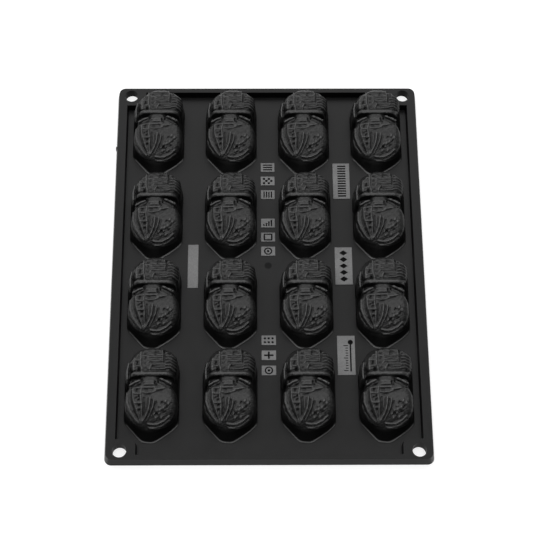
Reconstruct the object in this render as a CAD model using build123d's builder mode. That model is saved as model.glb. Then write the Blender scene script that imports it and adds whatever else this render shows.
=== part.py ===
"""Flexible baking mould with sixteen nut-shaped cups, lying with its cups up.

The mould's filling face is the plane z = 0 and the cups stand up from it. The
origin is at the middle of that face, with the mould's length along Y.
"""
import os
from math import copysign, cos, hypot, pi, sin, sqrt

from build123d import *

# Thickness of the sheet, height of the rim and radius of the outer corners
sheet_thickness = 2.5
rim_height = 10.5
corner_radius = 6.5

# Cup grid: room between the feet, and from the outer feet to the mould's edges
cup_columns = 4
cup_rows = 4
column_gap = 22.6
row_gap = 4.7
side_margin = 17.3
front_margin = 21.5
back_margin = 8.0
cup_wall = 2.2

# Perimeter rim: flat top of the long and short sides, and the lean of its walls
side_rim_width = 8.3
end_rim_width = 4.8
outer_lean = 1.6
inner_lean = 1.1

# Corner pads and their hanging holes, measured in from the mould's edges
pad_width = 28.6
pad_depth = 21.5
pad_radius = 6.5
hole_diameter = 13.0
hole_from_side = 14.0
hole_from_end = 10.5

# Foot of one cup, measured from the waist point that the grid places
cup_width = 49.4
nose_length = 37.8
nose_shift = -2.8
nose_half_width = 6.6
nose_round = 1.6
left_shoulder = 17.5
right_shoulder = 19.5
flank_width = 19.3
flank_reach = 26.6
back_start = 26.0
back_depth = 25.3
back_facets = 6

# Lip of one cup: height and how far side, nose and back have drawn in there
lip_height = 14.0
lip_inset = (1.6, 9.2, 1.8)

# Lobes of one cup, as height above the foot, half width, front and back
lobe_facets = 12
cavity_facets = 8
front_lobe = (
    (12.0, 23.5, -28.2, 16.2),
    (17.5, 23.1, -24.4, 15.9),
    (22.6, 21.4, -9.5, 14.4),
    (26.6, 13.0, -1.5, 11.5),
)
back_lobe = (
    (12.0, 23.8, 3.2, 50.9),
    (17.0, 22.0, 3.6, 50.5),
    (23.0, 16.3, 7.6, 46.2),
    (27.5, 7.0, 14.0, 37.4),
)

# Crossbar between the lobes, and the neck in the slot before it
crossbar_front = 17.4
crossbar_width = 3.6
crossbar_half = 20.8
crossbar_top = 28.6
neck_back = 20.0
neck_front = 8.0
neck_half = 11.0
neck_top = 24.0
arch_facets = 6
arch_foot = 12.0
arch_sink = 2.0
arch_flatness = 0.33
arch_fullness = 0.8

# Shallow round sprue mark in the middle of the sheet
sprue_diameter = 5.5
sprue_depth = 0.5
sprue_y = 2.0

# Raised plates and tiles, each centred in its lane between two columns
plate_rise = 0.6
plate_length = 40.0
plate_side_gap = 3.05
plate_shift = (0.5, 1.3)
side_plate_length = 46.5
side_plate_side_gap = 6.3
side_plate_y = 1.2
tile_length = 9.8
tile_side_gap = 4.55
tile_gap = 5.6
tile_shift = (0.1, 1.5)
sprue_to_tiles = 30.8

# Overall size and grid, worked out from the cups and the room around them
cup_length = nose_length + back_start + back_depth
column_pitch = cup_width + column_gap
row_pitch = cup_length + row_gap
mould_width = 2 * side_margin + (cup_columns - 1) * column_pitch + cup_width
mould_length = front_margin + (cup_rows - 1) * row_pitch + cup_length + back_margin
back_waist = mould_length / 2 - back_margin - back_depth - back_start


def edge_lines(corners):
    """Each edge of an outline as its outward normal and its distance."""
    lines = []
    for (x0, y0), (x1, y1) in zip(corners, corners[1:] + corners[:1]):
        length = hypot(x1 - x0, y1 - y0)
        nx = (y1 - y0) / length
        ny = (x0 - x1) / length
        lines.append((nx, ny, x0 * nx + y0 * ny))
    return lines


def meeting_points(lines):
    """The corners where each edge line meets the one before it."""
    corners = []
    for (ax, ay, a_reach), (bx, by, b_reach) in zip(lines[-1:] + lines[:-1], lines):
        turn = ax * by - ay * bx
        x = (a_reach * by - b_reach * ay) / turn
        y = (b_reach * ax - a_reach * bx) / turn
        corners.append((x, y))
    return corners


def foot_corners():
    """Corners of a cup's foot: a blunt nose in front, a round back behind."""
    half = cup_width / 2
    corners = [
        (-half, -left_shoulder),
        (nose_shift - nose_half_width, nose_round - nose_length),
        (nose_shift, -nose_length),
        (nose_shift + nose_half_width, nose_round - nose_length),
        (flank_width, -flank_reach),
        (half, -right_shoulder),
    ]
    for step in range(back_facets + 1):
        turn = pi * step / back_facets
        corners.append((half * cos(turn), back_start + back_depth * sin(turn)))
    return corners


def flank_ring(insets, skin=0.0):
    """The foot's outline drawn in by its side, nose and back insets."""
    side, nose, back = insets
    lines = []
    for nx, ny, reach in edge_lines(foot_corners()):
        end = back if ny > 0 else nose
        inset = side + (end - side) * abs(ny)
        lines.append((nx, ny, reach - inset - skin))
    return meeting_points(lines)


def lobe_ring(half_width, front, back, skin=0.0):
    """An oval ring of a lobe, as straight edges that touch the oval."""
    middle = (front + back) / 2
    half_length = (back - front) / 2
    facets = lobe_facets if skin == 0.0 else cavity_facets
    lines = []
    for step in range(facets):
        turn = 2 * pi * step / facets
        nx, ny = cos(turn), sin(turn)
        reach = middle * ny + sqrt((half_width * nx) ** 2 + (half_length * ny) ** 2)
        lines.append((nx, ny, reach - skin))
    return meeting_points(lines)


def stack(rings):
    """A closed solid through flat rings, each a height and its corners."""
    with BuildPart(mode=Mode.PRIVATE) as solid:
        for height, corners in rings:
            with BuildSketch(Plane.XY.offset(height)):
                with BuildLine():
                    Polyline(*corners, close=True)
                make_face()
        loft(ruled=True)
    return solid.part


def arch(half, top, front, back):
    """A flat-topped band that arches across the waist, from a front to a back."""
    corners = [(-half, arch_foot - arch_sink)]
    for step in range(arch_facets + 1):
        turn = pi * step / arch_facets
        across = copysign(abs(cos(turn)) ** arch_flatness, cos(turn))
        rise = max(sin(turn), 0.0) ** arch_fullness
        corners.append((-half * across, arch_foot + (top - arch_foot) * rise))
    corners.append((half, arch_foot - arch_sink))
    with BuildPart(mode=Mode.PRIVATE) as band:
        with BuildSketch(Plane.XZ.offset(-back)):
            with BuildLine():
                Polyline(*corners, close=True)
            make_face()
        extrude(amount=back - front)
    return band.part


def cup_form(skin=0.0):
    """The form of one cup at the grid's origin, drawn in by the skin."""
    foot = flank_ring((0.0, 0.0, 0.0), skin)
    flank = [(0.0, foot)]
    if skin == 0.0:
        flank.append((sheet_thickness, foot))
    flank.append((lip_height - skin, flank_ring(lip_inset, skin)))
    lobes = []
    for rings in (front_lobe, back_lobe):
        # The cavity leaves out the second ring
        used = rings if skin == 0.0 else rings[:1] + rings[2:]
        lobes.append([(z - skin, lobe_ring(half, front, back, skin)) for z, half, front, back in used])
    with BuildPart(mode=Mode.PRIVATE) as form:
        add(stack(lobes[1]))
        with Locations((0, crossbar_front + skin, 0)):
            Box(
                2 * cup_width, cup_width, 4 * crossbar_top,
                align=(Align.CENTER, Align.MAX, Align.CENTER), mode=Mode.SUBTRACT,
            )
        add(stack(lobes[0]))
        add(stack(flank))
        add(arch(neck_half - skin, neck_top - skin, neck_front + skin, neck_back))
        if skin == 0.0:
            add(arch(crossbar_half, crossbar_top, crossbar_front, crossbar_front + crossbar_width))
    return form.part


def pocket_outline(height, inset):
    """The sheet's outline inside the rim and pads, drawn in by an inset."""
    width = mould_width - 2 * (outer_lean + side_rim_width + inset)
    length = mould_length - 2 * (outer_lean + end_rim_width + inset)
    pad_x = mould_width - 2 * (pad_width + inset)
    pad_y = mould_length - 2 * (pad_depth + inset)
    with BuildSketch(Plane.XY.offset(height), mode=Mode.PRIVATE) as outline:
        Rectangle(width, pad_y)
        Rectangle(pad_x, length)
        inner = outline.vertices().filter_by(
            lambda v: abs(abs(v.X) - pad_x / 2) < 0.01 and abs(abs(v.Y) - pad_y / 2) < 0.01
        )
        fillet(inner, pad_radius)
    return outline.sketch


def save(piece, name):
    """Labels a finished piece and writes its file."""
    piece.label = name
    export_step(piece, f"parts/{name}.step")


os.makedirs("parts", exist_ok=True)

# Rim and pads in one, from which the bars and the corner pads are cut
with BuildPart() as rim_ring:
    with BuildSketch(Plane.XY):
        RectangleRounded(mould_width, mould_length, corner_radius)
    with BuildSketch(Plane.XY.offset(rim_height)):
        RectangleRounded(
            mould_width - 2 * outer_lean, mould_length - 2 * outer_lean, corner_radius - outer_lean
        )
    loft()
    extrude(pocket_outline(0, inner_lean), amount=sheet_thickness, mode=Mode.SUBTRACT)
    loft(
        [pocket_outline(sheet_thickness, inner_lean), pocket_outline(rim_height, 0)],
        mode=Mode.SUBTRACT,
    )

cup_waists = {}
for row in range(cup_rows):
    for column in range(cup_columns):
        x = (column - (cup_columns - 1) / 2) * column_pitch
        cup_waists[f"cup_row{row + 1}_col{column + 1}"] = (x, back_waist - row * row_pitch)
cup_grid = Locations(*cup_waists.values())
cup_outside = cup_form()
pad_box_x = pad_width + inner_lean
pad_box_y = pad_depth + inner_lean
hole_x = mould_width / 2 - hole_from_side
hole_y = mould_length / 2 - hole_from_end

for name, side_x, side_y in (
    ("corner_pad_front_left", -1, -1),
    ("corner_pad_front_right", 1, -1),
    ("corner_pad_back_left", -1, 1),
    ("corner_pad_back_right", 1, 1),
):
    with BuildPart() as corner_pad:
        add(rim_ring.part)
        with Locations((side_x * mould_width / 2, side_y * mould_length / 2, 0)):
            Box(2 * pad_box_x, 2 * pad_box_y, 4 * rim_height, mode=Mode.INTERSECT)
        with Locations((side_x * hole_x, side_y * hole_y, rim_height)):
            Hole(hole_diameter / 2)
        with cup_grid:
            add(cup_outside, mode=Mode.SUBTRACT)
    save(corner_pad.part, name)

for name, side in (("rim_bar_left", -1), ("rim_bar_right", 1)):
    with BuildPart() as rim_bar:
        add(rim_ring.part)
        with Locations((side * mould_width / 2, 0, 0)):
            Box(mould_width / 2, mould_length - 2 * pad_box_y, 4 * rim_height, mode=Mode.INTERSECT)
    save(rim_bar.part, name)

for name, side in (("rim_bar_front", -1), ("rim_bar_back", 1)):
    with BuildPart() as rim_bar:
        add(rim_ring.part)
        with Locations((0, side * mould_length / 2, 0)):
            Box(mould_width - 2 * pad_box_x, mould_length / 2, 4 * rim_height, mode=Mode.INTERSECT)
    save(rim_bar.part, name)

# Sheet with an opening for the foot of each cup
with BuildSketch() as foot_opening:
    with BuildLine():
        Polyline(*foot_corners(), close=True)
    make_face()

with BuildPart() as web_sheet:
    extrude(pocket_outline(0, inner_lean), amount=sheet_thickness)
    with BuildSketch(Plane.XY):
        with cup_grid:
            add(foot_opening.sketch)
    extrude(amount=sheet_thickness, mode=Mode.SUBTRACT)
    with BuildSketch(Plane.XY.offset(sheet_thickness - sprue_depth)):
        with Locations((0, sprue_y)):
            Circle(sprue_diameter / 2)
    extrude(amount=sprue_depth, mode=Mode.SUBTRACT)
save(web_sheet.part, "web_sheet")

# One cup, hollow from below, repeated over the grid
with BuildPart() as cup:
    add(cup_outside)
    add(cup_form(cup_wall), mode=Mode.SUBTRACT)

for name, waist in cup_waists.items():
    with BuildPart() as placed_cup:
        with Locations(waist):
            add(cup.part)
    save(placed_cup.part, name)

# Bare plates in the outer lanes, one on the left and three on the right
left_lane = cup_waists["cup_row1_col1"][0] + column_pitch / 2
right_lane = cup_waists[f"cup_row1_col{cup_columns}"][0] - column_pitch / 2
rows_middle = back_waist - (cup_rows - 1) / 2 * row_pitch
plate_width = column_gap - 2 * plate_side_gap
side_plate_width = column_gap - 2 * side_plate_side_gap
plates = {"plate_left": ((left_lane, rows_middle + side_plate_y), (side_plate_width, side_plate_length))}
for name, row in (("plate_back", 1), ("plate_middle", 0), ("plate_front", -1)):
    centre = (right_lane + plate_shift[0], rows_middle + row * row_pitch + plate_shift[1])
    plates[name] = (centre, (plate_width, plate_length))
for name, (centre, size) in plates.items():
    with BuildPart() as plate:
        with BuildSketch(Plane.XY.offset(sheet_thickness)):
            with Locations(centre):
                Rectangle(*size)
        extrude(amount=plate_rise)
    save(plate.part, name)

# Three groups of three bare tiles in the middle lane
tile_groups = {
    "back": rows_middle + row_pitch + tile_shift[1],
    "middle": sprue_y + sprue_to_tiles,
    "front": rows_middle - row_pitch + tile_shift[1],
}
for name, middle in tile_groups.items():
    for number in range(3):
        y = middle + (1 - number) * (tile_length + tile_gap)
        with BuildPart() as tile:
            with BuildSketch(Plane.XY.offset(sheet_thickness)):
                with Locations((tile_shift[0], y)):
                    Rectangle(column_gap - 2 * tile_side_gap, tile_length)
            extrude(amount=plate_rise)
        save(tile.part, f"tile_{name}_{number + 1}")
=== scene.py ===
"""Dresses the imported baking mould: sculpted cups, rim, sheet, plates and studio."""
import logging
import math
from dataclasses import dataclass, field
from enum import Enum
from typing import Callable, Iterable, Sequence

import bpy
import numpy as np
from mathutils import Matrix, Vector


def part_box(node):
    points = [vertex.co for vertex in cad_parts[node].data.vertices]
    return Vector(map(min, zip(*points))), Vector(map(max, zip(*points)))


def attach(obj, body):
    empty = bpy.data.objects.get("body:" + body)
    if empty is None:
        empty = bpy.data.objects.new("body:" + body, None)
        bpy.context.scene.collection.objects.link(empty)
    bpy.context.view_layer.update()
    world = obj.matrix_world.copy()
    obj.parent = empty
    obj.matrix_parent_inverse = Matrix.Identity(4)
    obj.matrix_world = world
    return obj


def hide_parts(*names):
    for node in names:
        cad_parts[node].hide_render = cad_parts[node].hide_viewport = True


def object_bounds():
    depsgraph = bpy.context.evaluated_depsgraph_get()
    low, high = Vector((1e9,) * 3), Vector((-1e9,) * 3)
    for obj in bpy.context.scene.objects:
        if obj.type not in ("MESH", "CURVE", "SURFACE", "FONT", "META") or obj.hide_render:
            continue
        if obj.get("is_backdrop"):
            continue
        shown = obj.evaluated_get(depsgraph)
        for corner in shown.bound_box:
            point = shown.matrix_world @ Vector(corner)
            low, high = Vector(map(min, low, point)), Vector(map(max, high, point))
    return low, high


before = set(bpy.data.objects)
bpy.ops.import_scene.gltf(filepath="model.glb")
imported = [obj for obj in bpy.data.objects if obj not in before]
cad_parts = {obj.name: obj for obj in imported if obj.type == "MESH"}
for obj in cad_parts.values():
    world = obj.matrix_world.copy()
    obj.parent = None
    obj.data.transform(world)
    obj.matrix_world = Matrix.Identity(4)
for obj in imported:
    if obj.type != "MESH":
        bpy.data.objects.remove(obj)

MM = 0.001
CAD_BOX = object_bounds()
LOG = logging.getLogger("baking_mould")

Span = tuple[float, float]
Path = Sequence[Span]
Plane = tuple[float, float, float]
Parts = tuple[list[bpy.types.Object], list[bpy.types.Object]]


def deselect() -> None:
    """Leaves edit mode and deselects every object."""
    if bpy.context.object and bpy.context.object.mode != "OBJECT":
        bpy.ops.object.mode_set(mode="OBJECT")
    bpy.ops.object.select_all(action="DESELECT")


def activate(piece: bpy.types.Object) -> None:
    """Selects one object alone and makes it active.

    Args:
        piece: The object to work on.
    """
    deselect()
    piece.select_set(True)
    bpy.context.view_layer.objects.active = piece


def apply_modifiers(piece: bpy.types.Object) -> None:
    """Applies every modifier of an object in order.

    Args:
        piece: The object whose modifiers become part of its mesh.
    """
    activate(piece)
    for modifier in list(piece.modifiers):
        bpy.ops.object.modifier_apply(modifier=modifier.name)


def settle(piece: bpy.types.Object, name: str) -> bpy.types.Object:
    """Names a finished piece and moves its place into its mesh.

    Args:
        piece: The object to finish.
        name: Its final name.

    Returns:
        The same object, at the origin, unturned and unscaled.
    """
    activate(piece)
    bpy.ops.object.transform_apply(location=True, rotation=True, scale=True)
    piece.name = name
    piece.data.name = name
    return piece


class Joining(Enum):
    """How a tool changes the body that it is used on."""

    CUT = "DIFFERENCE"
    WELD = "UNION"


def combine(body: bpy.types.Object, tool: bpy.types.Object, joining: Joining) -> None:
    """Cuts a tool out of a body or welds it on, and removes the tool.

    Args:
        body: The object that changes.
        tool: The object that is used up.
        joining: Whether the tool is cut out or welded on.
    """
    modifier = body.modifiers.new("combine", "BOOLEAN")
    modifier.operation = joining.value
    modifier.solver = "EXACT"
    modifier.object = tool
    apply_modifiers(body)
    bpy.data.objects.remove(tool, do_unlink=True)


def cut(body: bpy.types.Object, tools: Iterable[bpy.types.Object]) -> None:
    """Cuts each tool out of a body in turn."""
    for tool in tools:
        combine(body, tool, Joining.CUT)


def mesh_points(piece: bpy.types.Object) -> np.ndarray:
    """Reads the vertices of a piece.

    Args:
        piece: A mesh object whose place is in its mesh.

    Returns:
        One row of x, y and z in millimetres for each vertex.
    """
    flat = np.empty(len(piece.data.vertices) * 3)
    piece.data.vertices.foreach_get("co", flat)
    return flat.reshape(-1, 3) / MM


def set_mesh_points(piece: bpy.types.Object, points: np.ndarray) -> None:
    """Moves the vertices of a piece to the given places in millimetres."""
    piece.data.vertices.foreach_set("co", (points * MM).ravel())
    piece.data.update()


def pick(piece: bpy.types.Object, kind: str, wanted: Callable[[object], bool]) -> None:
    """Selects some vertices, edges or faces of a piece and enters edit mode.

    Args:
        piece: The object to edit.
        kind: VERT, EDGE or FACE.
        wanted: Says whether an element is to be selected.
    """
    activate(piece)
    bpy.ops.object.mode_set(mode="EDIT")
    bpy.ops.mesh.select_mode(type=kind)
    bpy.ops.mesh.select_all(action="DESELECT")
    bpy.ops.object.mode_set(mode="OBJECT")
    mesh = piece.data
    elements = {"VERT": mesh.vertices, "EDGE": mesh.edges, "FACE": mesh.polygons}[kind]
    for element in elements:
        element.select = wanted(element)
    bpy.ops.object.mode_set(mode="EDIT")


def climbs(edge: bpy.types.MeshEdge, points: np.ndarray) -> bool:
    """Whether an edge rises by more than a millimetre between two of the points."""
    start, end = edge.vertices
    return abs(points[start, 2] - points[end, 2]) > 1.0


def block(low: Sequence[float], high: Sequence[float]) -> bpy.types.Object:
    """Adds a box between two corners.

    Args:
        low: Lower corner in millimetres.
        high: Upper corner.

    Returns:
        The box, its place in its mesh.
    """
    deselect()
    bpy.ops.mesh.primitive_cube_add(size=1.0)
    piece = bpy.context.object
    piece.scale = [(b - a) * MM for a, b in zip(low, high)]
    piece.location = [(a + b) / 2 * MM for a, b in zip(low, high)]
    return settle(piece, "block")


def drum(centre: Sequence[float], radii: Span, heights: Span, sides: int) -> bpy.types.Object:
    """Adds an upright round cylinder or cone frustum.

    Args:
        centre: Plan position in millimetres.
        radii: Radius at the bottom and at the top.
        heights: Height of the bottom and of the top.
        sides: Number of sides.

    Returns:
        The frustum, its place in its mesh.
    """
    deselect()
    low, high = heights
    bpy.ops.mesh.primitive_cone_add(
        vertices=sides,
        radius1=radii[0] * MM,
        radius2=radii[1] * MM,
        depth=(high - low) * MM,
        location=(centre[0] * MM, centre[1] * MM, (low + high) / 2 * MM),
    )
    return settle(bpy.context.object, "drum")


def join(pieces: Sequence[bpy.types.Object], name: str) -> bpy.types.Object:
    """Joins several objects into the first one.

    Args:
        pieces: Two objects or more.
        name: Name of the joined object.

    Returns:
        The first object, which now holds all the meshes.
    """
    activate(pieces[0])
    for piece in pieces:
        piece.select_set(True)
    bpy.ops.object.join()
    return settle(pieces[0], name)


def soften(
    piece: bpy.types.Object, width: float, segments: int, limit: float, margin: float = 15.0
) -> None:
    """Rounds the edges of a piece and shades it smooth.

    Args:
        piece: The object to finish.
        width: Width of the rounding in millimetres.
        segments: Number of steps round each edge.
        limit: Least angle of an edge that is rounded, in degrees.
        margin: How much wider an angle is still shaded smooth, in degrees.
    """
    bevel = piece.modifiers.new("soft edges", "BEVEL")
    bevel.width = width * MM
    bevel.segments = segments
    bevel.limit_method = "ANGLE"
    bevel.angle_limit = math.radians(limit)
    bevel.miter_outer = "MITER_ARC"
    apply_modifiers(piece)
    shade(piece, limit + margin)


def shade(piece: bpy.types.Object, limit: float) -> None:
    """Shades a piece smooth up to an angle and keeps its large faces flat.

    Args:
        piece: The object to shade.
        limit: Greatest angle across which it is smooth, in degrees.
    """
    activate(piece)
    bpy.ops.object.shade_smooth_by_angle(angle=math.radians(limit))
    weighted = piece.modifiers.new("flat faces", "WEIGHTED_NORMAL")
    weighted.keep_sharp = True
    apply_modifiers(piece)


def smooth_low(surfaces: Sequence[np.ndarray], radius: float) -> np.ndarray:
    """The lowest of several heights, rounded where two of them meet.

    Args:
        surfaces: Heights over the same points.
        radius: Size of the rounding, in millimetres.

    Returns:
        One height for each point.
    """
    stack = np.array(surfaces)
    low = stack.min(axis=0)
    return low - radius * np.log(np.exp((low - stack) / radius).sum(axis=0))


def smooth_high(surfaces: Sequence[np.ndarray], radius: float) -> np.ndarray:
    """The highest of several heights, rounded where two of them meet."""
    return -smooth_low([-surface for surface in surfaces], radius)


@dataclass(frozen=True)
class Stroke:
    """A ridge or groove that follows a path over the cup, in plan.

    Attributes:
        path: Corners of the path, in millimetres from the cup's waist.
        width: Width across the stroke at half its height.
        rise: Height of the ridge, or depth of a groove where negative.
        spread: Factor that puts half the height at half the width.
    """

    path: Path
    width: float
    rise: float
    spread: float = 0.36

    def height(self, x: np.ndarray, y: np.ndarray) -> np.ndarray:
        """How far the stroke lifts each point of the plan.

        Args:
            x: Places across, in millimetres from the cup's waist.
            y: Places along.

        Returns:
            One height for each point.
        """
        nearest = np.full(x.shape, np.inf)
        for (x0, y0), (x1, y1) in zip(self.path, self.path[1:]):
            dx, dy = x1 - x0, y1 - y0
            along = np.clip(((x - x0) * dx + (y - y0) * dy) / (dx * dx + dy * dy), 0.0, 1.0)
            gap = (x - x0 - along * dx) ** 2 + (y - y0 - along * dy) ** 2
            nearest = np.minimum(nearest, gap)
        return self.rise * np.exp(-nearest / (self.spread * self.width**2))


@dataclass
class Relief:
    """The shell relief of one cup, drawn as ridges, grooves and pits.

    Attributes:
        ripple_rise: Height of the slight unevenness between the strokes.
        slow_share: Share of its slow waves.
        softness: Share of each stroke's height that is kept.
        strokes: All the strokes, drawn when the relief is made.
    """

    ripple_rise: float = 0.10
    slow_share: float = 0.6
    softness: float = 0.85
    strokes: list[Stroke] = field(default_factory=list)

    def __post_init__(self) -> None:
        """Draws all the strokes, from the nose to the back."""
        self.left_rails()
        self.middle()
        self.right_knots()
        self.lip()
        self.brows()
        self.back_left()
        self.back_right()

    def line(self, path: Path, width: float, rise: float) -> None:
        """Adds one ridge or groove."""
        self.strokes.append(Stroke(path, width, rise))

    def dabs(self, spots: Iterable[tuple[Span, float, float]], reach: Span) -> None:
        """Adds short knots and pits that all run the same way.

        Args:
            spots: Start, width and rise of each.
            reach: How far each one runs, across and along.
        """
        for (x, y), width, rise in spots:
            self.line(((x, y), (x + reach[0], y + reach[1])), width, rise)

    def left_rails(self) -> None:
        """Two long rails with rungs and pits between them, and the flank beside them."""
        self.line(((-21.4, 2.0), (-21.4, -7.0), (-19.0, -14.0), (-14.7, -20.4), (-11.0, -24.2)), 1.0, 0.9)
        self.line(((-23.6, 2.0), (-23.6, -7.0), (-21.4, -14.4), (-16.6, -21.2)), 0.9, -1.0)
        self.line(((-17.6, 3.4), (-17.8, -7.0), (-14.8, -15.4), (-10.8, -21.6)), 1.1, -1.1)
        self.line(((-16.1, 4.2), (-15.7, -4.2), (-13.3, -11.6), (-11.0, -18.0), (-9.0, -24.4)), 0.9, 1.3)
        self.line(((-8.2, 6.9), (-9.2, -1.4), (-8.0, -8.8), (-8.2, -15.3), (-7.8, -24.0)), 1.0, 1.4)
        rungs = (((-15.8, 5.4), (-9.0, 6.0)), ((-15.4, 0.6), (-9.4, 0.4)), ((-14.2, -7.9), (-8.4, -7.9)))
        for rung in rungs:
            self.line(rung, 0.9, 1.1)
        pits = (
            ((-13.3, -3.7), 1.1, -1.3), ((-10.8, -2.6), 1.1, -1.3), ((-11.2, -5.8), 1.1, -1.3),
            ((-10.6, -10.2), 1.3, -1.3), ((-10.2, -14.4), 1.2, -1.3), ((-12.8, 3.0), 1.4, -1.3),
            ((-11.5, 9.0), 1.9, -1.3),
        )
        self.dabs(pits, reach=(0.4, 0.6))

    def middle(self) -> None:
        """Long streaks that gather at the nose, under a plain cap with waves."""
        self.line(((-0.4, -3.2), (-1.0, -8.8), (-1.8, -13.4), (-4.0, -18.0), (-6.6, -22.6)), 1.1, 1.6)
        self.line(((3.3, -4.2), (2.4, -10.6), (-0.4, -17.0), (-3.6, -22.4)), 1.0, 1.0)
        self.line(((-3.6, -6.0), (-4.0, -13.0)), 1.0, 0.5)
        self.line(((-5.8, -3.2), (-5.6, -10.6), (-6.3, -18.0)), 1.0, -1.0)
        self.line(((-2.2, -4.0), (-2.8, -11.0), (-4.6, -17.0)), 0.8, -0.8)
        self.line(((1.2, -5.4), (0.8, -10.4), (-1.6, -17.4), (-4.6, -22.0)), 0.9, -0.9)
        self.line(((5.2, -7.0), (4.0, -12.0), (1.0, -18.0)), 1.1, -0.8)
        self.line(((-6.6, 1.6), (-3.0, 1.2), (1.0, 1.6), (4.7, 3.0)), 1.1, 1.1)
        self.line(((3.8, 4.4), (8.0, 4.8), (13.0, 5.8)), 1.1, 1.2)
        self.line(((-5.4, 4.2), (-3.0, 3.8)), 1.3, -1.0)
        self.line(((-1.0, 5.0), (2.0, 4.6)), 0.9, -0.7)
        self.line(((-5.6, -1.2), (-0.6, -1.0)), 1.0, -0.5)
        self.line(((5.6, 2.2), (11.0, 3.2)), 0.9, -0.7)
        self.line(((-7.0, 6.2), (3.2, 6.4)), 1.0, 0.9)
        self.line(((-6.6, 11.8), (3.0, 12.0)), 1.0, 0.9)
        self.line(((-6.4, 9.0), (2.6, 9.2)), 1.2, 0.5)
        self.line(((4.2, 11.6), (5.4, 8.6)), 1.4, -1.9)

    def right_knots(self) -> None:
        """Small knots and pits on the right of the front lobe."""
        knots = (
            ((13.5, -7.0), 1.6, 1.5), ((16.2, -8.8), 1.7, 1.3), ((11.6, -12.6), 1.5, 1.4),
            ((8.4, -14.4), 1.4, 1.4), ((10.0, -8.5), 1.2, -1.0), ((5.2, -17.8), 1.3, -1.5),
            ((3.0, -18.0), 1.0, 1.2), ((7.6, -17.4), 1.0, 1.2), ((5.4, -15.2), 1.0, 1.1),
            ((4.6, -20.8), 1.2, 1.3), ((9.6, -20.6), 1.3, 1.1), ((12.4, -16.4), 1.1, -0.6),
            ((14.6, -12.4), 1.0, -0.9), ((8.6, -11.4), 1.0, 0.7),
        )
        self.dabs(knots, reach=(0.6, 0.9))

    def lip(self) -> None:
        """Curved folds along the lip above the nose."""
        self.line(((-2.4, -25.2), (2.0, -25.8), (6.6, -25.4), (12.6, -22.6), (17.0, -18.6)), 0.9, 1.3)
        self.line(((-1.4, -26.9), (5.0, -27.0), (11.0, -25.0), (17.4, -21.0)), 0.8, -1.5)
        self.line(((-1.0, -28.4), (6.6, -28.2), (14.6, -25.4), (21.4, -20.6)), 0.9, 1.2)

    def brows(self) -> None:
        """Worn crests of the raised arcs and the crossbar, and the grooves beside them."""
        self.line(((-18.8, 8.6), (-14.8, 11.2), (-10.0, 13.2)), 0.9, 1.2)
        self.line(((8.8, 14.6), (12.8, 12.8), (18.2, 9.8)), 1.0, 1.4)
        self.line(((-17.0, 19.2), (17.6, 19.2)), 2.2, 0.8)
        self.line(((-17.4, 6.8), (-13.4, 8.8), (-9.8, 10.2)), 1.2, -2.0)
        self.line(((7.4, 11.8), (12.0, 10.0), (16.8, 7.2)), 1.4, -2.6)
        self.line(((-18.0, 22.6), (0.0, 22.8), (20.0, 22.6)), 0.9, -0.9)

    def back_left(self) -> None:
        """A net of ridges and pits on the left of the back lobe, and its flank."""
        self.line(((-21.6, 15.4), (-21.9, 24.0), (-20.6, 31.0)), 0.9, 1.2)
        self.line(((-23.4, 17.4), (-23.6, 26.0)), 0.9, -0.9)
        self.line(((-16.0, 23.0), (-16.2, 29.0), (-15.4, 35.0)), 1.0, 1.3)
        self.line(((-8.2, 21.6), (-8.4, 25.0), (-9.6, 28.4), (-9.4, 33.0), (-9.4, 41.0)), 1.1, 1.5)
        self.line(((-15.4, 26.6), (-9.4, 27.4)), 1.0, 1.3)
        self.line(((-15.8, 32.8), (-9.6, 33.0)), 1.0, 1.1)
        self.line(((-12.4, 38.0), (-8.0, 37.6), (-3.0, 36.6)), 1.0, 1.0)
        pits = (
            ((-11.6, 23.2), 1.8, -1.9), ((-13.3, 29.6), 1.6, -1.6), ((-5.8, 34.0), 1.3, -1.1),
            ((-5.6, 39.6), 1.3, -1.1), ((-12.2, 35.4), 1.1, -0.7), ((-6.2, 29.6), 1.2, -0.8),
            ((-5.0, 24.6), 1.3, -1.2),
        )
        self.dabs(pits, reach=(0.4, 0.8))
        self.line(((-1.3, 23.0), (-1.0, 25.6), (0.8, 28.2)), 1.3, 1.7)
        self.line(((-4.0, 29.4), (-2.6, 31.0)), 1.2, 1.0)

    def back_right(self) -> None:
        """Cross ribs on the middle and the right of the back lobe."""
        middle_start, middle_pitch = 31.8, 2.1
        for number in range(4):
            y = middle_start + middle_pitch * number
            self.line(((-2.0, y), (4.0, y + 0.4), (10.6, y)), 0.9, 1.0)
            self.line(((-1.6, y - 1.0), (4.0, y - 0.7), (10.2, y - 1.0)), 0.8, -0.9)
        right_start, right_pitch, right_slant = 40.6, 3.1, 0.5
        for number in range(6):
            y = right_start - right_pitch * number
            slant = right_slant * (number % 3)
            self.line(((13.0, y), (17.0 + slant, y + 0.6), (23.4, y - 1.6 - slant)), 0.9, 0.9)
            self.line(((13.4, y - 1.5), (16.6 - slant, y - 0.9), (23.0, y - 3.0)), 0.9, -0.8)
        for y in (24.0, 26.4):
            self.line(((5.0, y), (12.4, y + 0.4)), 0.9, 0.8)
            self.line(((4.4, y + 1.2), (12.0, y + 1.6)), 0.9, -1.0)
        self.line(((11.9, 30.6), (12.1, 38.0), (11.2, 45.0)), 0.9, -1.6)
        self.line(((10.4, 31.0), (10.6, 38.0), (9.8, 44.6)), 0.9, 0.9)
        self.line(((4.0, 41.4), (5.4, 42.4)), 1.7, -1.6)
        self.line(((3.4, 38.8), (4.2, 39.0)), 1.1, -1.4)
        self.line(((1.6, 27.0), (4.6, 26.4)), 1.3, -1.5)

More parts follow.
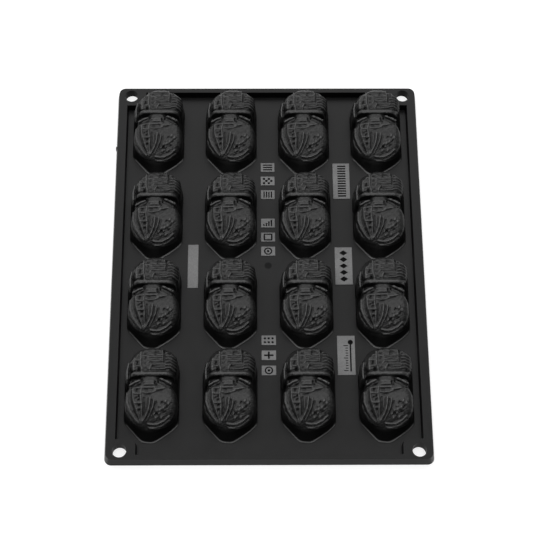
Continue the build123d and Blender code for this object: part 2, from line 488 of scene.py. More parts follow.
    def ripple(self, x: np.ndarray, y: np.ndarray) -> np.ndarray:
        """A fixed unevenness with no clear direction.

        Args:
            x: Places across, in millimetres from the cup's waist.
            y: Places along.

        Returns:
            One height for each point.
        """
        slow_along = np.sin(0.9 * x + 0.7 * y + 1.3 * np.sin(0.45 * y))
        slow_across = np.sin(1.3 * y - 0.5 * x + 1.1 * np.sin(0.6 * x))
        slow = slow_along + slow_across
        quick = np.sin(2.3 * x - 1.1 * y + 1.4 * np.sin(0.8 * y + 0.4 * x)) * np.sin(1.9 * y + 0.8 * x)
        return self.ripple_rise * (self.slow_share * slow + quick)

    def height(self, x: np.ndarray, y: np.ndarray) -> np.ndarray:
        """The relief over the plan, summed over all strokes.

        Args:
            x: Places across, in millimetres from the cup's waist.
            y: Places along.

        Returns:
            One height for each point.
        """
        total = self.ripple(x, y)
        for stroke in self.strokes:
            total += self.softness * stroke.height(x, y)
        return total


@dataclass(frozen=True)
class Arch:
    """A low arch across the cup, such as the crossbar.

    Attributes:
        middle: Centre of the arch across, in millimetres from the waist.
        half: Half its width.
        front: Where it begins along the cup.
        back: Where it ends.
        top: Its height above the filling face.
        squareness: How late it falls away towards its ends.
        fullness: How gently it falls there, where 1 is a plain power curve.
    """

    middle: float
    half: float
    front: float
    back: float
    top: float
    squareness: int
    fullness: float

    def height(self, x: np.ndarray, y: np.ndarray, foot: float) -> np.ndarray:
        """Height of the arch over the plan.

        Args:
            x: Places across, in millimetres from the cup's waist.
            y: Places along.
            foot: Height at which the arch springs.

        Returns:
            One height for each point, 0 beyond the arch.
        """
        away = np.clip(np.abs((x - self.middle) / self.half), 0.0, 1.0)
        share = (1.0 - away**self.squareness) ** self.fullness
        inside = (away < 1.0) & (y > self.front) & (y < self.back)
        return np.where(inside, foot + (self.top - foot) * share, 0.0)


@dataclass(frozen=True)
class Fold:
    """A raised fold with a level crest that follows a path over the cup.

    Attributes:
        path: Corners of the path, in millimetres from the waist.
        width: Width across the fold at half its fall.
        top: Height of its crest above the filling face.
        fall: How far its flanks would fall in all.
        reach: Share of that fall at which the fold ends.
    """

    path: Path
    width: float
    top: float
    fall: float = 7.0
    reach: float = 0.9

    def height(self, x: np.ndarray, y: np.ndarray) -> np.ndarray:
        """Height of the fold over the plan.

        Args:
            x: Places across, in millimetres from the cup's waist.
            y: Places along.

        Returns:
            One height for each point, 0 beyond the fold.
        """
        away = 1.0 - Stroke(self.path, self.width, 1.0).height(x, y)
        return np.where(away < self.reach, self.top - self.fall * away, 0.0)


@dataclass
class CupForm:
    """The form of one cup, in millimetres from its waist point.

    The cup is a drafted foot with a blunt leaning nose and a round back,
    under two rounded lobes that a straight crossbar and a slot divide. The
    planes of the nose and the cheeks are given by their normal, across and
    along, and their distance from the waist.

    Attributes:
        half_width: Half the width of the foot.
        nose_left: Plane of the nose on its left.
        nose_right: Plane of the nose on its right.
        nose_shoulder: Plane between the right of the nose and the side.
        nose_tip: Plane of the blunt tip.
        back_start: Where the round back of the foot begins.
        back_depth: Depth of the round back.
        foot_rounding: Rounding of the foot's corners in plan.
        front_half: Half the width of the front lobe.
        front_middle: Its centre along the cup.
        front_reach: Its reach towards the nose.
        front_rear: Its reach towards the crossbar.
        front_power: Squareness of its outline.
        front_squareness: How late it falls away from its crest near the nose.
        rear_squareness: How much later it falls near the crossbar.
        rear_start: Where that change begins along the cup.
        rear_length: Length over which it happens.
        back_left: Reach of the back lobe to the left.
        back_right: Its reach to the right.
        back_middle: Its centre along the cup.
        back_reach: Its reach towards the back.
        back_front: Its reach towards the crossbar.
        back_power: Squareness of its outline.
        back_squareness: How late it falls away from its crest.
        back_overlap: How far behind the crossbar's front it begins.
        lobe_fullness: How gently both lobes fall, where 1 is a plain power curve.
        cheek_left: Plane past which the back lobe's crest sinks on the left.
        cheek_right: Plane past which it sinks on the right.
        cheek_back: Plane past which it sinks at the back.
        cheek_fall: How far the crest sinks for each millimetre.
        cheek_shelf: Least height of the crest above the shelf.
        bar: The straight crossbar.
        neck: The neck that joins the front lobe to the crossbar.
        saddle: The lower ground beside the neck.
        front_crest: Height of the front lobe's crest along the cup.
        back_crest: Height of the back lobe's crest along the cup.
        folds: The two arcs under the crossbar and the ledges of the left flank.
        sheet: Top of the sheet round the foot.
        shelf: Height at which the lobes spring from the foot.
        wall_ease: Rounding of the foot's walls where they meet the lobes.
        blend: Rounding where any two parts of the form meet.
        ramp_width: Width of the slope from the sheet to the foot.
        ramp_rise: Height of that slope.
        bead_rise: Height of the bead round the nose.
        skirt: How far the surface runs out over the sheet before it dives.
        skirt_step: Depth of the dive's first step.
        skirt_fall: Steepness of the dive.
        wall: Thickness of the cup's wall.
        grid: Spacing of the first grid.
        grid_front: Where the grid begins, beyond the nose.
        grid_margin: How far the grid runs out at the sides and the back.
        deepest: Lowest height of the first grid.
        plug: Depth of the plug that closes the form below.
        plug_base: Height of the plug's flat base.
        voxel: Size of the cells of the even skin.
        relax: Strength with which the skin is relaxed.
        relax_rounds: How often it is relaxed.
        start: Height at which the skin is cut open.
        lowest: Least height of the finished cup.
        core: A point inside the foot, from which its outline is sought.
        steepest: Upright share of a normal at which the relief begins.
        facing_span: Change of that share over which it reaches full height.
        relief_foot: Height at which the relief begins.
        relief_span: Height over which it reaches full strength.
        bead_inset: Place of the bead, measured inwards from the foot's outline.
        bead_width: Half the width of the bead.
        bead_top: Height above which there is no bead.
        bead_start: Where the bead fades out along the cup.
        bead_fade: Length over which it fades.
        bead_facing: Least upward share of a normal on the bead.
        painted_light_wall: Painted-light value of the walls, kept low as painted shade.
        painted_light_face: How much higher that value is on the plain lobes.
        painted_light_lift: Height of relief that adds the full painted highlight, or the full painted
            shade in a groove.
        painted_light_bead: Painted highlight that the bead round the nose adds.
        relief: The raised shell relief.
    """

    half_width: float = 24.7
    nose_left: Plane = (-0.766, -0.643, 30.2)
    nose_right: Plane = (0.565, -0.825, 32.7)
    nose_shoulder: Plane = (0.771, -0.638, 31.7)
    nose_tip: Plane = (-0.12, -0.993, 37.9)
    back_start: float = 26.0
    back_depth: float = 25.3
    foot_rounding: float = 0.9
    front_half: float = 24.5
    front_middle: float = -6.5
    front_reach: float = 21.9
    front_rear: float = 22.4
    front_power: float = 2.2
    front_squareness: float = 6.0
    rear_squareness: float = 5.0
    rear_start: float = -8.0
    rear_length: float = 14.0
    back_left: float = 20.6
    back_right: float = 24.2
    back_middle: float = 29.0
    back_reach: float = 21.6
    back_front: float = 14.0
    back_power: float = 2.8
    back_squareness: int = 6
    back_overlap: float = 1.5
    lobe_fullness: float = 0.4
    cheek_left: Plane = (-0.667, 0.745, 37.2)
    cheek_right: Plane = (0.578, 0.816, 41.8)
    cheek_back: Plane = (0.0, 1.0, 46.6)
    cheek_fall: float = 1.9
    cheek_shelf: float = 1.0
    bar: Arch = Arch(middle=0.3, half=20.8, front=17.0, back=21.4, top=28.9, squareness=6, fullness=0.4)
    neck: Arch = Arch(middle=-0.6, half=10.4, front=8.0, back=20.0, top=27.4, squareness=4, fullness=0.5)
    saddle: Arch = Arch(middle=0.0, half=20.2, front=4.0, back=22.0, top=22.0, squareness=4, fullness=0.5)
    front_crest: Path = (
        (-30.0, 14.3), (-24.0, 17.2), (-14.0, 22.0), (-7.0, 24.4), (0.0, 25.9), (7.0, 26.6), (17.0, 26.7),
    )
    back_crest: Path = (
        (17.0, 27.4), (24.0, 27.8), (38.0, 27.6), (44.0, 26.4), (48.0, 24.6), (52.0, 22.0),
    )
    folds: tuple[Fold, ...] = (
        Fold(((-18.8, 8.6), (-14.8, 11.2), (-10.0, 13.2)), 2.1, 26.6),
        Fold(((8.8, 14.6), (12.8, 12.8), (18.2, 9.8)), 2.2, 27.0),
        Fold(((-21.4, 15.0), (-21.8, 24.0), (-20.4, 32.0)), 3.0, 24.0),
        Fold(((-21.6, 14.0), (-21.8, 19.0)), 2.4, 22.6),
    )
    sheet: float = 2.5
    shelf: float = 13.0
    wall_ease: float = 0.6
    blend: float = 0.3
    ramp_width: float = 1.5
    ramp_rise: float = 0.6
    bead_rise: float = 0.3
    skirt: float = 2.6
    skirt_step: float = 1.0
    skirt_fall: float = 12.0
    wall: float = 2.2
    grid: float = 0.4
    grid_front: float = -39.5
    grid_margin: float = 1.0
    deepest: float = -4.0
    plug: float = 10.0
    plug_base: float = -8.0
    voxel: float = 0.62
    relax: float = 0.5
    relax_rounds: int = 3
    start: float = 1.0
    lowest: float = 0.06
    core: Span = (0.0, 5.0)
    steepest: float = 0.12
    facing_span: float = 0.3
    relief_foot: float = 9.5
    relief_span: float = 2.5
    bead_inset: float = -0.8
    bead_width: float = 0.6
    bead_top: float = 4.2
    bead_start: float = -19.0
    bead_fade: float = 3.0
    bead_facing: float = 0.3
    painted_light_wall: float = 0.12
    painted_light_face: float = 0.38
    painted_light_lift: float = 2.4
    painted_light_bead: float = 1.1
    relief: Relief = field(default_factory=Relief)

    def insets(self, x: np.ndarray, y: np.ndarray) -> np.ndarray:
        """How far each point lies inside the foot's outline.

        Args:
            x: Places across, in millimetres from the waist.
            y: Places along.

        Returns:
            One distance for each point, negative outside the foot.
        """
        planes = []
        for nx, ny, reach in (self.nose_left, self.nose_right, self.nose_shoulder, self.nose_tip):
            planes.append(reach - nx * x - ny * y)
        planes.append(self.half_width - np.abs(x))
        radius = np.hypot(x / self.half_width, np.maximum(y - self.back_start, 0.0) / self.back_depth)
        planes.append((1.0 - radius) * self.half_width)
        return smooth_low(planes, self.foot_rounding)

    def front_ring(self, x: np.ndarray, y: np.ndarray) -> np.ndarray:
        """How far out each point lies on the front lobe.

        Args:
            x: Places across, in millimetres from the waist.
            y: Places along.

        Returns:
            0 in the middle of the lobe, 1 on its outline and more outside.
        """
        reach = np.where(y < self.front_middle, self.front_reach, self.front_rear)
        across = np.abs(x / self.front_half) ** self.front_power
        along = np.abs((y - self.front_middle) / reach) ** self.front_power
        return (across + along) ** (1 / self.front_power)

    def back_ring(self, x: np.ndarray, y: np.ndarray) -> np.ndarray:
        """How far out each point lies on the back lobe.

        Args:
            x: Places across, in millimetres from the waist.
            y: Places along.

        Returns:
            0 in the middle of the lobe, 1 on its outline and more outside.
        """
        reach = np.where(y > self.back_middle, self.back_reach, self.back_front)
        along = np.abs(y - self.back_middle) / reach
        across = np.abs(x / np.where(x < 0.0, self.back_left, self.back_right))
        return (across**self.back_power + along**self.back_power) ** (1 / self.back_power)

    def front_lobe(self, x: np.ndarray, y: np.ndarray) -> np.ndarray:
        """Height of the front lobe, which is fuller near the crossbar.

        Args:
            x: Places across, in millimetres from the waist.
            y: Places along.

        Returns:
            One height for each point, 0 beyond the lobe.
        """
        ring = np.clip(self.front_ring(x, y), 0.0, 1.0)
        rear = np.clip((y - self.rear_start) / self.rear_length, 0.0, 1.0)
        share = (1.0 - ring ** (self.front_squareness + self.rear_squareness * rear)) ** self.lobe_fullness
        crest = np.interp(y, *zip(*self.front_crest))
        return np.where(ring < 1.0, self.shelf + (crest - self.shelf) * share, 0.0)

    def back_lobe(self, x: np.ndarray, y: np.ndarray) -> np.ndarray:
        """Height of the back lobe, whose crest sinks past the cheek planes.

        Args:
            x: Places across, in millimetres from the waist.
            y: Places along.

        Returns:
            One height for each point, 0 beyond the lobe.
        """
        ring = np.clip(self.back_ring(x, y), 0.0, 1.0)
        share = (1.0 - ring**self.back_squareness) ** self.lobe_fullness
        planes = (self.cheek_left, self.cheek_right, self.cheek_back)
        past = np.array([nx * x + ny * y - reach for nx, ny, reach in planes]).max(axis=0)
        sunk = np.interp(y, *zip(*self.back_crest)) - self.cheek_fall * np.maximum(past, 0.0)
        crest = np.maximum(sunk, self.shelf + self.cheek_shelf)
        inside = (ring < 1.0) & (y > self.bar.front + self.back_overlap)
        return np.where(inside, self.shelf + (crest - self.shelf) * share, 0.0)

    def foot(self, x: np.ndarray, y: np.ndarray) -> np.ndarray:
        """Height of the drafted foot, the slope round it and the skirt under the sheet.

        Args:
            x: Places across, in millimetres from the waist.
            y: Places along.

        Returns:
            One height for each point.
        """
        behind = np.where(y > self.bar.front, self.back_ring(x, y), np.inf)
        beside = (y > self.saddle.front) & (y < self.saddle.back)
        waist = np.where(beside, np.abs(x / self.saddle.half), np.inf)
        ring = np.minimum(np.minimum(self.front_ring(x, y), behind), waist)
        outside = np.maximum(ring - 1.0, 0.0) * self.front_reach
        inset = self.insets(x, y)
        share = inset / (np.maximum(inset, 0.0) + outside + self.wall_ease)
        wall = self.sheet + (self.shelf - self.sheet) * np.clip(share, -1.0, 1.0)
        ramp = self.sheet + self.ramp_rise * (1.0 + np.minimum(inset, 0.0) / self.ramp_width)
        dive = self.sheet - self.skirt_step + self.skirt_fall * (inset + self.skirt)
        skirt = np.where(inset > -self.skirt, ramp, dive)
        return np.where(inset > 0.0, wall + self.ramp_rise, skirt)

    def surface(self, x: np.ndarray, y: np.ndarray) -> np.ndarray:
        """Height of the cup's smooth outer form above the filling face.

        Args:
            x: Places across, in millimetres from the waist.
            y: Places along.

        Returns:
            One height for each point.
        """
        heights = [self.foot(x, y), self.front_lobe(x, y), self.back_lobe(x, y)]
        heights += [arch.height(x, y, self.shelf) for arch in (self.bar, self.neck, self.saddle)]
        heights += [fold.height(x, y) for fold in self.folds]
        return smooth_high(heights, self.blend)

    def outline(self, inset: float, count: int = 96, halvings: int = 40) -> np.ndarray:
        """Plan points of the foot's outline drawn in by an inset.

        Args:
            inset: How far inside the foot the points lie, in millimetres.
            count: Number of points.
            halvings: Steps of the search along each ray.

        Returns:
            One row of x and y for each point.
        """
        core = np.array(self.core)
        turns = np.linspace(0.0, 2.0 * math.pi, count, endpoint=False)
        ahead = np.stack([np.cos(turns), np.sin(turns)], axis=1)
        near = np.zeros(count)
        far = np.full(count, 2.0 * (self.half_width + self.core[1]))
        for _ in range(halvings):
            middle = (near + far) / 2
            points = core + ahead * middle[:, None]
            inside = self.insets(points[:, 0], points[:, 1]) > inset
            near = np.where(inside, middle, near)
            far = np.where(inside, far, middle)
        return core + ahead * near[:, None]

    def raise_grid(self) -> bpy.types.Object:
        """Lays a fine grid and lifts it to the cup's surface.

        Returns:
            The open surface of the master cup.
        """
        deselect()
        half = self.half_width + self.grid_margin
        front = self.grid_front
        back = self.back_start + self.back_depth + self.grid_margin
        columns = int(2 * half / self.grid)
        rows = int((back - front) / self.grid)
        bpy.ops.mesh.primitive_grid_add(x_subdivisions=columns, y_subdivisions=rows, size=1.0)
        cup = bpy.context.object
        cup.scale = (2 * half * MM, (back - front) * MM, 1.0)
        cup.location = (0.0, (front + back) / 2 * MM, 0.0)
        settle(cup, "cup_master")
        points = mesh_points(cup)
        points[:, 2] = np.maximum(self.surface(points[:, 0], points[:, 1]), self.deepest)
        set_mesh_points(cup, points)
        return cup

    def close_below(self, cup: bpy.types.Object) -> None:
        """Closes the open surface with a flat-based plug.

        Args:
            cup: The master cup.
        """
        activate(cup)
        bpy.ops.object.mode_set(mode="EDIT")
        bpy.ops.mesh.select_all(action="SELECT")
        bpy.ops.mesh.extrude_region_move(TRANSFORM_OT_translate={"value": (0, 0, -self.plug * MM)})
        bpy.ops.transform.resize(value=(1, 1, 0), center_override=(0, 0, self.plug_base * MM))
        bpy.ops.mesh.select_all(action="SELECT")
        bpy.ops.mesh.normals_make_consistent(inside=False)
        bpy.ops.object.mode_set(mode="OBJECT")

    def even_skin(self, cup: bpy.types.Object) -> None:
        """Gives the closed form an even mesh and cuts its foot open.

        Args:
            cup: The master cup.
        """
        remesh = cup.modifiers.new("even skin", "REMESH")
        remesh.mode = "VOXEL"
        remesh.voxel_size = self.voxel * MM
        relax = cup.modifiers.new("relax", "SMOOTH")
        relax.factor = self.relax
        relax.iterations = self.relax_rounds
        apply_modifiers(cup)
        bpy.ops.object.mode_set(mode="EDIT")
        bpy.ops.mesh.select_all(action="SELECT")
        bpy.ops.mesh.bisect(plane_co=(0, 0, self.start * MM), plane_no=(0, 0, 1), clear_inner=True)
        bpy.ops.object.mode_set(mode="OBJECT")

    def build(self) -> bpy.types.Object:
        """Models the master cup at the origin, hollow from below.

        Returns:
            The cup, sculpted and shaded.
        """
        cup = self.raise_grid()
        self.close_below(cup)
        self.even_skin(cup)
        shell = cup.modifiers.new("wall", "SOLIDIFY")
        shell.thickness = self.wall * MM
        shell.offset = -1.0
        apply_modifiers(cup)
        self.sculpt(cup)
        activate(cup)
        bpy.ops.object.shade_smooth()
        return cup

    def sculpt(self, cup: bpy.types.Object) -> None:
        """Raises the relief on the cup, outside and in, and notes where it paints light and shade.

        The painted-light attribute is 1 on ridges and on the bead round the nose, 0.5 on
        plain lobes and near 0 in grooves and low on the walls: painted highlights on the
        ridges and the bead, painted shade in the grooves and on the walls.

        Args:
            cup: The hollow master cup.
        """
        points = mesh_points(cup)
        x, y, z = points.T
        normals = np.empty(len(points) * 3)
        cup.data.vertices.foreach_get("normal", normals)
        normals = normals.reshape(-1, 3)
        facing = np.clip((np.abs(normals[:, 2]) - self.steepest) / self.facing_span, 0.0, 1.0)
        face = facing * np.clip((z - self.relief_foot) / self.relief_span, 0.0, 1.0)
        lift = self.relief.height(x, y) * face
        across = (self.insets(x, y) - self.bead_inset) / self.bead_width
        along = np.clip((self.bead_start - y) / self.bead_fade, 0.0, 1.0)
        low = np.clip(self.bead_top - z, 0.0, 1.0)
        bead = np.exp(-(across**2)) * low * along * (normals[:, 2] > self.bead_facing)
        # Painted light: ridges and the bead get a paler grey and more sheen as painted highlights; grooves
        # and the low walls get a darker grey and less sheen as painted shade.
        painted_light = self.painted_light_wall + self.painted_light_face * face + lift / self.painted_light_lift + self.painted_light_bead * bead
        outward = normals * np.sign(normals[:, 2:3] + 1e-9)
        points += outward * (lift + self.bead_rise * bead)[:, None]
        points[:, 2] = np.maximum(points[:, 2], self.lowest)
        set_mesh_points(cup, points)
        layer = cup.data.attributes.new("painted_light", "FLOAT", "POINT")
        layer.data.foreach_set("value", np.clip(painted_light, 0.0, 1.0))


@dataclass(frozen=True)
class SatinSilicone:
    """Black satin silicone: near black, softly glossy, with a faint cloudy sheen.

    Attributes:
        name: Name of the material.
        dark: Colour of the darker clouds.
        light: Colour of the lighter clouds.
        roughness: Least and greatest roughness.
        specular: Strength of the sheen.
        cloud_size: Size of the clouds, in metres.
        grain_size: Size of the fine grain.
        grain_depth: Depth of the fine grain.
        sway_size: Size of the slow waves of the face.
        sway_depth: Depth of the slow waves.
    """

    name: str = "black_satin_silicone"
    dark: tuple[float, float, float] = (0.0020, 0.0020, 0.0021)
    light: tuple[float, float, float] = (0.0040, 0.0040, 0.0042)
    roughness: tuple[float, float] = (0.36, 0.42)
    specular: float = 0.24
    cloud_size: float = 0.022
    grain_size: float = 0.0011
    grain_depth: float = 0.00002
    sway_size: float = 0.014
    sway_depth: float = 0.00006

    def build(self) -> bpy.types.Material:
        """Makes the material from clouds of tone and two sizes of bump.

        Returns:
            The material.
        """
        web = NodeWeb(self.name)
        clouds = web.noise(1.0 / self.cloud_size, detail=4.0, roughness=0.6)
        web.shader.inputs["Specular IOR Level"].default_value = self.specular
        web.blend_colour(clouds, self.dark, self.light, "Base Color")
        web.spread(clouds, self.roughness, "Roughness")
        sway = web.bump(web.noise(1.0 / self.sway_size, detail=2.0), self.sway_depth)
        grain = web.bump(web.noise(1.0 / self.grain_size, detail=3.0), self.grain_depth, sway)
        web.link(grain, "Normal")
        return web.material


@dataclass(frozen=True)
class ReliefSilicone:
    """Black silicone of the cups, with painted highlights on ridges and the bead and painted shade in
    grooves and on the low walls.

    Attributes:
        name: Name of the material.
        shade_and_highlight_greys: Grey in grooves, on plain faces and on ridges: painted shade, plain tone
            and painted highlight.
        shade_and_highlight_sheens: Specular level at the same three places, for the same painted shade and
            painted highlight.
        roughness: Least and greatest roughness.
        cloud_size: Size of the uneven patches, in metres.
        grain_size: Size of the fine grain.
        grain_depth: Depth of the fine grain.
    """

    name: str = "relief_silicone_painted_light"
    # Painted shade in grooves, plain grey on faces and painted highlight on ridges, in grey and in sheen.
    shade_and_highlight_greys: tuple[float, float, float] = (0.0010, 0.0120, 0.0560)
    shade_and_highlight_sheens: tuple[float, float, float] = (0.24, 0.34, 0.50)
    roughness: tuple[float, float] = (0.32, 0.40)
    cloud_size: float = 0.012
    grain_size: float = 0.0011
    grain_depth: float = 0.00002

    def build(self) -> bpy.types.Material:
        """Makes the material from the worn attribute and two noises.

        Returns:
            The material.
        """
        web = NodeWeb(self.name)
        painted_light = web.attribute("painted_light")
        for values, socket in ((self.shade_and_highlight_greys, "Base Color"), (self.shade_and_highlight_sheens, "Specular IOR Level")):
            web.three_steps(painted_light, values, socket)
        web.spread(web.noise(1.0 / self.cloud_size, detail=4.0), self.roughness, "Roughness")
        web.link(web.bump(web.noise(1.0 / self.grain_size, detail=3.0), self.grain_depth), "Normal")
        return web.material


@dataclass(frozen=True)
class FrostedSilicone:
    """The lighter frosted face of the raised plates and tiles.

    Attributes:
        name: Name of the material.
        dark: Colour of the darker speckles.
        light: Colour of the lighter speckles.
        roughness: Least and greatest roughness.
        speckle_size: Size of the speckles, in metres.
        speckle_depth: Depth of the speckles.
    """

    name: str = "frosted_silicone"
    dark: tuple[float, float, float] = (0.130, 0.130, 0.131)
    light: tuple[float, float, float] = (0.190, 0.190, 0.191)
    roughness: tuple[float, float] = (0.55, 0.72)
    speckle_size: float = 0.0012
    speckle_depth: float = 0.00006

    def build(self) -> bpy.types.Material:
        """Makes the material from fine speckle that also roughens the face.

        Returns:
            The material.
        """
        web = NodeWeb(self.name)
        speckle = web.noise(1.0 / self.speckle_size, detail=5.0, roughness=0.7)
        web.blend_colour(speckle, self.dark, self.light, "Base Color")
        web.spread(speckle, self.roughness, "Roughness")
        web.link(web.bump(speckle, self.speckle_depth), "Normal")
        return web.material


class NodeWeb:
    """A small helper that wires a material's nodes on Object coordinates.

    Attributes:
        BLEND: Values of a pattern at which a blend of colours begins and ends.
        SPREAD: Values at which a span of numbers begins and ends.
    """

    BLEND: Span = (0.35, 0.65)
    SPREAD: Span = (0.3, 0.7)

    def __init__(self, name: str) -> None:
        """Starts a material with one Principled shader.

        Args:
            name: Name of the material.
        """
        self.material = bpy.data.materials.new(name)
        self.material.use_nodes = True
        self.tree = self.material.node_tree
        self.shader = self.tree.nodes["Principled BSDF"]
        self.place = self.tree.nodes.new("ShaderNodeTexCoord").outputs["Object"]

    def link(self, output: bpy.types.NodeSocket, socket: str) -> None:
        """Feeds an output to a socket of the shader."""
        self.tree.links.new(output, self.shader.inputs[socket])

    def noise(self, scale: float, detail: float = 2.0, roughness: float = 0.5) -> bpy.types.NodeSocket:
        """Adds a noise pattern.

        Args:
            scale: Number of features to the metre.
            detail: Number of finer layers.
            roughness: Strength of the finer layers.

        Returns:
            The pattern's value.
        """
        node = self.tree.nodes.new("ShaderNodeTexNoise")
        node.inputs["Scale"].default_value = scale
        node.inputs["Detail"].default_value = detail
        node.inputs["Roughness"].default_value = roughness
        self.tree.links.new(self.place, node.inputs["Vector"])
        return node.outputs["Fac"]

    def blend_colour(
        self,
        value: bpy.types.NodeSocket,
        dark: tuple[float, float, float],
        light: tuple[float, float, float],
        socket: str,
    ) -> None:
        """Blends two colours by a pattern.

        Args:
            value: The pattern.
            dark: Colour where the pattern is low.
            light: Colour where it is high.
            socket: Socket of the shader that takes the colour.
        """
        ramp = self.tree.nodes.new("ShaderNodeValToRGB")
        for step, place, colour in zip(ramp.color_ramp.elements, self.BLEND, (dark, light)):
            step.position = place
            step.color = (*colour, 1.0)
        self.tree.links.new(value, ramp.inputs["Fac"])
        self.link(ramp.outputs["Color"], socket)

    def attribute(self, name: str) -> bpy.types.NodeSocket:
        """Reads one number that the mesh carries at its points.

        Args:
            name: Name of the mesh's attribute.

        Returns:
            The attribute's value.
        """
        node = self.tree.nodes.new("ShaderNodeAttribute")
        node.attribute_name = name
        return node.outputs["Fac"]

    def three_steps(
        self, value: bpy.types.NodeSocket, greys: tuple[float, float, float], socket: str
    ) -> None:
        """Maps 0, 0.5 and 1 of a value onto three greys.

        Args:
            value: The value, between 0 and 1.
            greys: The three greys or numbers.
            socket: Socket of the shader that takes them.
        """
        ramp = self.tree.nodes.new("ShaderNodeValToRGB")
        steps = ramp.color_ramp.elements
        steps.new(0.5)
        for step, place, grey in zip(steps, (0.0, 0.5, 1.0), greys):
            step.position = place
            step.color = (grey, grey, grey, 1.0)
        self.tree.links.new(value, ramp.inputs["Fac"])
        self.link(ramp.outputs["Color"], socket)

    def spread(self, value: bpy.types.NodeSocket, span: Span, socket: str) -> None:
        """Maps a pattern onto a span of numbers.

        Args:
            value: The pattern.
            span: Least and greatest number.
            socket: Socket of the shader that takes the number.
        """
        node = self.tree.nodes.new("ShaderNodeMapRange")
        node.inputs["From Min"].default_value, node.inputs["From Max"].default_value = self.SPREAD
        node.inputs["To Min"].default_value, node.inputs["To Max"].default_value = span
        self.tree.links.new(value, node.inputs["Value"])
        self.link(node.outputs["Result"], socket)

    def bump(
        self, value: bpy.types.NodeSocket, depth: float, below: bpy.types.NodeSocket | None = None
    ) -> bpy.types.NodeSocket:
        """Turns a pattern into a bump.

        Args:
            value: The pattern.
            depth: Depth of the bump in metres.
            below: Another bump that lies under this one.

        Returns:
            The bumped normal.
        """
        node = self.tree.nodes.new("ShaderNodeBump")
        node.inputs["Strength"].default_value = 1.0
        node.inputs["Distance"].default_value = depth
        self.tree.links.new(value, node.inputs["Height"])
        if below is not None:
            self.tree.links.new(below, node.inputs["Normal"])
        return node.outputs["Normal"]


